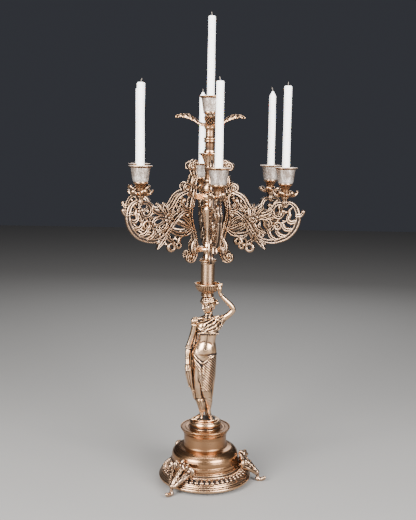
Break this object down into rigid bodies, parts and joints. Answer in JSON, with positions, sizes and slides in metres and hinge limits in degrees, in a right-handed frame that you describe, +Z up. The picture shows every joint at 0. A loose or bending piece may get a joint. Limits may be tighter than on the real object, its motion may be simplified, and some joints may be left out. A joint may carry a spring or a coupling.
{
  "type": "tabletop candelabra",
  "caption": "Tall antique brass candelabra: a standing draped woman carries openwork scroll arms with candle cups and lift-out white candles, on a round base with scroll feet.",
  "frame": {"origin": "on the stand's vertical axis at the level of the table, under the middle of the base", "axes": "+Z up, -Y towards the front (the side the figure faces), +X to the right of a person who looks at the front"},
  "size_m": [0.4514, 0.4866, 1.141],
  "materials": {
    "antique_brass": "aged cast and spun brass, worn bright on the high parts and dark in the recesses",
    "steel_fixings": "plain steel rods, nuts and screws",
    "silvered_cup": "pale silvered satin body with a brass rim and foot",
    "wax": "plain white wax, slightly translucent",
    "wick": "braided cotton, darkened"
  },
  "bodies": {
    "stand": {"base_rim": "antique_brass", "base_bell": "antique_brass", "base_dish": "antique_brass", "foot_1": "antique_brass", "foot_2": "antique_brass", "foot_3": "antique_brass", "figure_plinth": "antique_brass", "figure": "antique_brass", "head_ring": "antique_brass", "head_bowl": "antique_brass", "column_tube": "antique_brass", "column_collar": "antique_brass", "lower_hub": "antique_brass", "stem_baluster": "antique_brass", "upper_hub": "antique_brass", "stem_knop": "antique_brass", "stem_trumpet": "antique_brass", "upper_stem": "antique_brass", "top_pan": "antique_brass", "arm_1": "antique_brass", "arm_2": "antique_brass", "arm_3": "antique_brass", "arm_4": "antique_brass", "arm_5": "antique_brass", "arm_6": "antique_brass", "pan_1": "antique_brass", "pan_2": "antique_brass", "pan_3": "antique_brass", "pan_4": "antique_brass", "pan_5": "antique_brass", "pan_6": "antique_brass", "base_bar": "steel_fixings", "base_tie_rod": "steel_fixings", "base_nut": "steel_fixings", "foot_screws": "steel_fixings", "hub_screws": "steel_fixings", "cup_studs": "steel_fixings", "upper_tie_rod": "steel_fixings", "cup_1": "silvered_cup", "cup_2": "silvered_cup", "cup_3": "silvered_cup", "cup_4": "silvered_cup", "cup_5": "silvered_cup", "cup_6": "silvered_cup", "cup_7": "silvered_cup"},
    "candle_1": {"candle_wax_1": "wax", "wick_1": "wick"},
    "candle_2": {"candle_wax_2": "wax", "wick_2": "wick"},
    "candle_3": {"candle_wax_3": "wax", "wick_3": "wick"},
    "candle_4": {"candle_wax_4": "wax", "wick_4": "wick"},
    "candle_5": {"candle_wax_5": "wax", "wick_5": "wick"},
    "candle_6": {"candle_wax_6": "wax", "wick_6": "wick"},
    "candle_7": {"candle_wax_7": "wax", "wick_7": "wick"}
  },
  "joints": [
    {"name": "candle_1_lift", "type": "slide", "parent": "stand", "child": "candle_1", "axis": [0, 0, 1], "range_m": [0, 0.05]},
    {"name": "candle_2_lift", "type": "slide", "parent": "stand", "child": "candle_2", "axis": [0, 0, 1], "range_m": [0, 0.05]},
    {"name": "candle_3_lift", "type": "slide", "parent": "stand", "child": "candle_3", "axis": [0, 0, 1], "range_m": [0, 0.05]},
    {"name": "candle_4_lift", "type": "slide", "parent": "stand", "child": "candle_4", "axis": [0, 0, 1], "range_m": [0, 0.05]},
    {"name": "candle_5_lift", "type": "slide", "parent": "stand", "child": "candle_5", "axis": [0, 0, 1], "range_m": [0, 0.05]},
    {"name": "candle_6_lift", "type": "slide", "parent": "stand", "child": "candle_6", "axis": [0, 0, 1], "range_m": [0, 0.05]},
    {"name": "candle_7_lift", "type": "slide", "parent": "stand", "child": "candle_7", "axis": [0, 0, 1], "range_m": [0, 0.05]}
  ]
}
